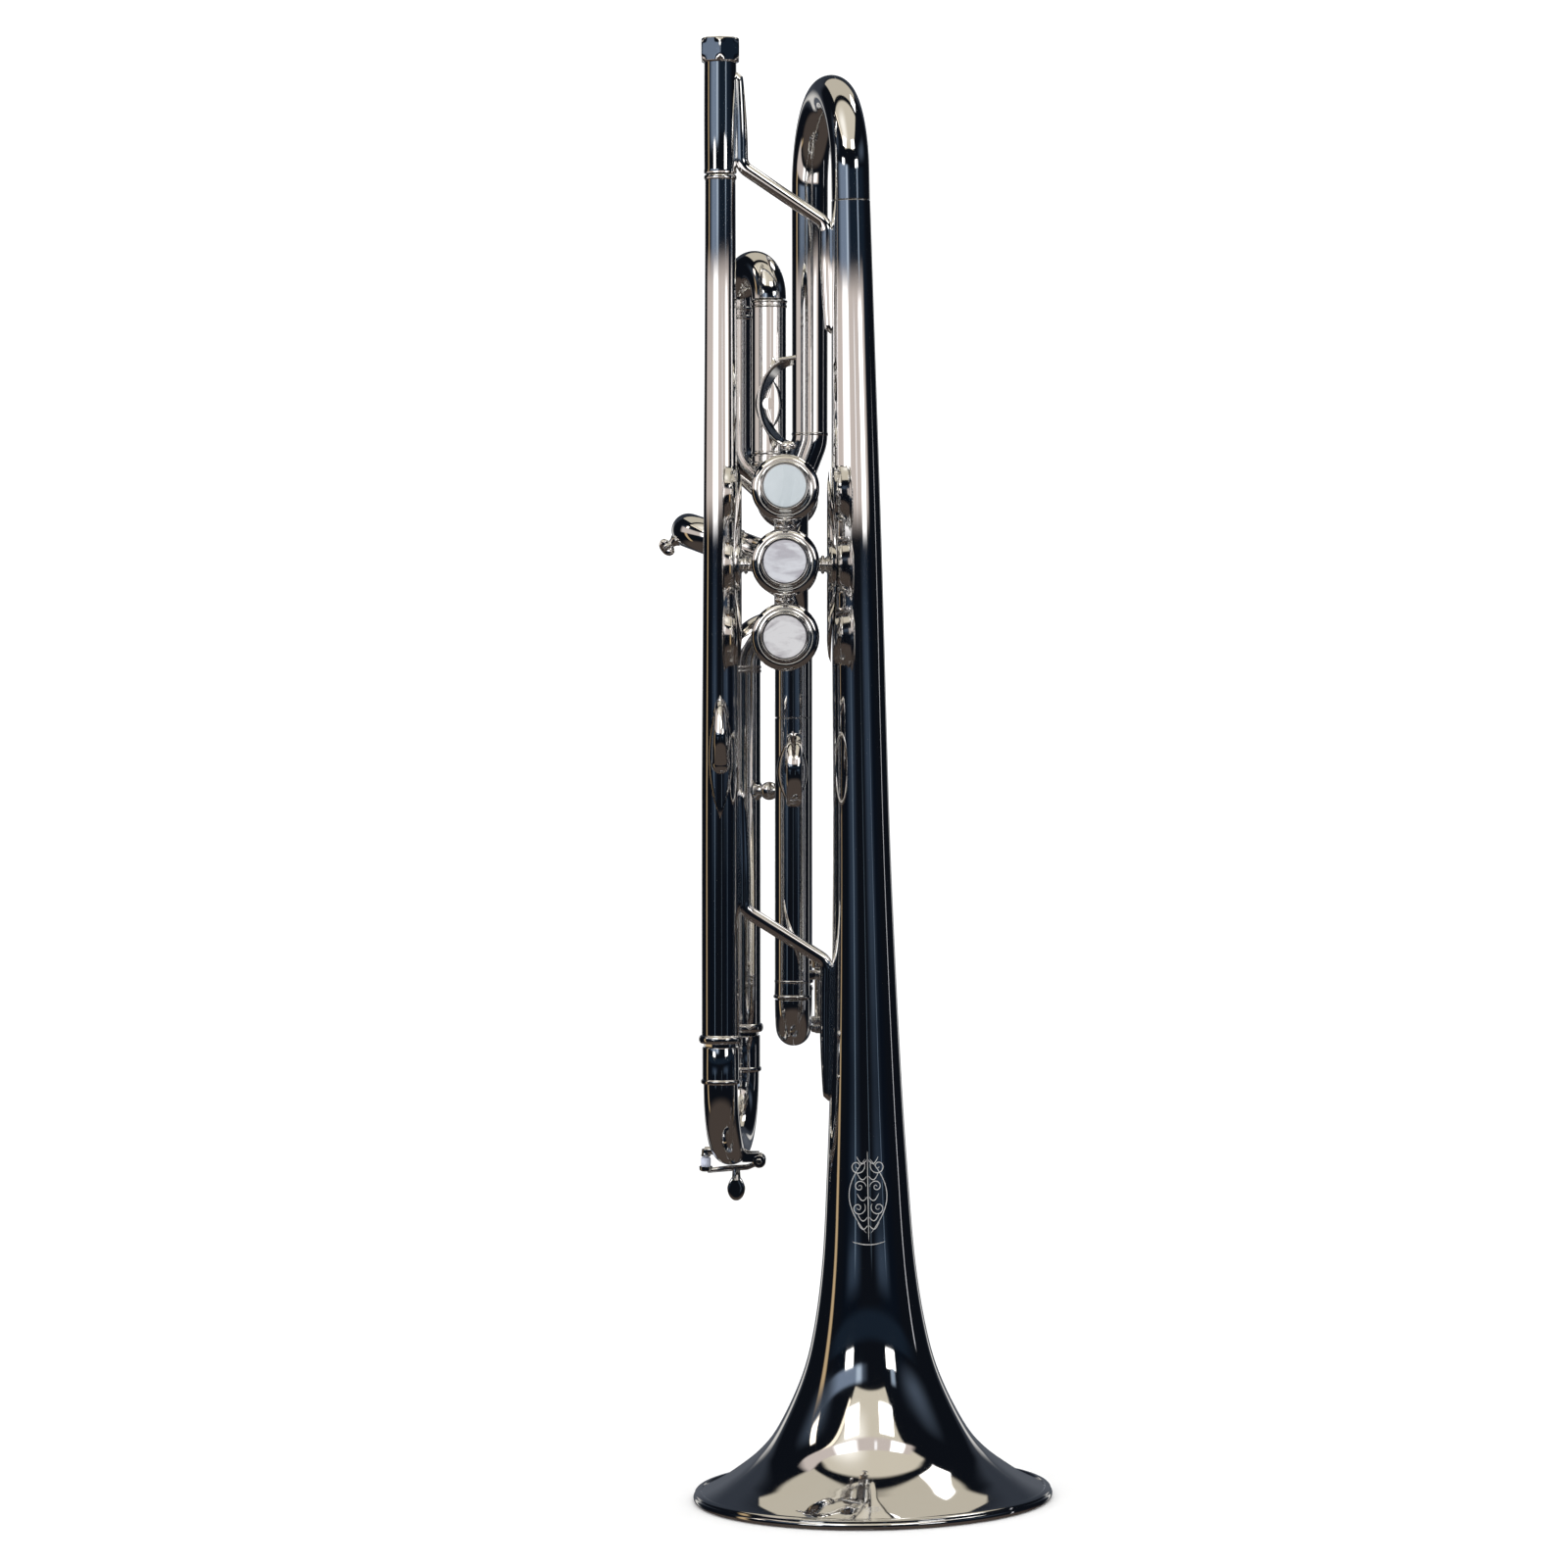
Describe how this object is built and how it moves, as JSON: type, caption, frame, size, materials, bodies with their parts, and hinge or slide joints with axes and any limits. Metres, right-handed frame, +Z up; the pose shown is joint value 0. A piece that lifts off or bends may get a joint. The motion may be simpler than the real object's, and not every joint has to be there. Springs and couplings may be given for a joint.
{
  "type": "trumpet",
  "caption": "Silver-plated piston-valve trumpet, standing on its bell, with pearl finger buttons, pull-out slides, finger ring, thumb saddle and water key.",
  "frame": {"origin": "middle of the base of the object's box, on the plane that the bell's rim rests on", "axes": "+Z up along the bell's axis, from the rim to the bow; -Y is the side of the finger buttons; +X is the bell's side and -X the leadpipe's"},
  "size_m": [0.129, 0.1556, 0.4957],
  "materials": {
    "silver_plate": "mirror-polished silver plate over brass",
    "piston_nickel": "fine-ground nickel alloy",
    "spring_steel": "drawn wire",
    "mother_of_pearl": "polished mother-of-pearl",
    "nylon": "satin",
    "cork": "matt, pale"
  },
  "bodies": {
    "instrument": {"bell": "silver_plate", "bell_bow": "silver_plate", "mouthpiece_receiver": "silver_plate", "leadpipe": "silver_plate", "lower_slide_tube": "silver_plate", "valve_casing_1": "silver_plate", "top_cap_1": "silver_plate", "bottom_cap_1": "silver_plate", "valve_guide_1": "nylon", "valve_spring_1": "spring_steel", "valve_casing_2": "silver_plate", "top_cap_2": "silver_plate", "bottom_cap_2": "silver_plate", "valve_guide_2": "nylon", "valve_spring_2": "spring_steel", "valve_casing_3": "silver_plate", "top_cap_3": "silver_plate", "bottom_cap_3": "silver_plate", "valve_guide_3": "nylon", "valve_spring_3": "spring_steel", "valve_tie_12": "silver_plate", "valve_tie_23": "silver_plate", "crossover_tube_12": "silver_plate", "crossover_tube_23": "silver_plate", "first_slide_upper_inner": "silver_plate", "first_slide_lower_outer": "silver_plate", "second_slide_upper_outer": "silver_plate", "second_slide_lower_outer": "silver_plate", "third_slide_upper_inner": "silver_plate", "third_slide_lower_outer": "silver_plate", "stop_rod": "silver_plate", "stop_nuts": "silver_plate", "rear_brace": "silver_plate", "front_brace": "silver_plate", "leadpipe_post": "silver_plate", "bell_post": "silver_plate", "pinky_hook": "silver_plate", "slide_post": "silver_plate"},
    "valve_1": {"piston_1": "piston_nickel", "valve_stem_1": "silver_plate", "pearl_1": "mother_of_pearl"},
    "valve_2": {"piston_2": "piston_nickel", "valve_stem_2": "silver_plate", "pearl_2": "mother_of_pearl"},
    "valve_3": {"piston_3": "piston_nickel", "valve_stem_3": "silver_plate", "pearl_3": "mother_of_pearl"},
    "tuning_slide": {"tuning_slide_crook": "silver_plate", "tuning_slide_upper_leg": "silver_plate", "tuning_slide_lower_leg": "silver_plate"},
    "water_key": {"water_key_lever": "silver_plate", "water_key_cork": "cork"},
    "first_slide": {"first_slide_sleeve": "silver_plate", "first_slide_crook": "silver_plate", "thumb_saddle": "silver_plate"},
    "second_slide": {"second_slide_crook": "silver_plate", "second_slide_knob": "silver_plate"},
    "third_slide": {"third_slide_sleeve": "silver_plate", "third_slide_crook": "silver_plate", "finger_ring": "silver_plate"}
  },
  "joints": [
    {"name": "valve_1_press", "type": "slide", "parent": "instrument", "child": "valve_1", "axis": [0, 1, 0], "range_m": [0, 0.0167], "stiffness_N_per_m": 120, "springref_m": -0.015, "deforming": ["valve_spring_1"]},
    {"name": "valve_2_press", "type": "slide", "parent": "instrument", "child": "valve_2", "axis": [0, 1, 0], "range_m": [0, 0.0167], "stiffness_N_per_m": 120, "springref_m": -0.015, "deforming": ["valve_spring_2"]},
    {"name": "valve_3_press", "type": "slide", "parent": "instrument", "child": "valve_3", "axis": [0, 1, 0], "range_m": [0, 0.0167], "stiffness_N_per_m": 120, "springref_m": -0.015, "deforming": ["valve_spring_3"]},
    {"name": "tuning_slide_pull", "type": "slide", "parent": "instrument", "child": "tuning_slide", "axis": [-0.0175, 0, -0.9998], "range_m": [0, 0.02]},
    {"name": "water_key_hinge", "type": "hinge", "parent": "tuning_slide", "child": "water_key", "pos_m": [-0.03358, 0.0202, 0.11299], "axis": [0, -1, 0], "range_deg": [0, 20], "stiffness_Nm_per_rad": 0.02, "springref_deg": -28.65},
    {"name": "first_slide_pull", "type": "slide", "parent": "instrument", "child": "first_slide", "axis": [0.0175, 0, 0.9998], "range_m": [0, 0.018]},
    {"name": "second_slide_pull", "type": "slide", "parent": "instrument", "child": "second_slide", "axis": [-0.9336, 0, 0.3584], "range_m": [0, 0.007]},
    {"name": "third_slide_pull", "type": "slide", "parent": "instrument", "child": "third_slide", "axis": [-0.0175, 0, -0.9998], "range_m": [0, 0.012]}
  ]
}
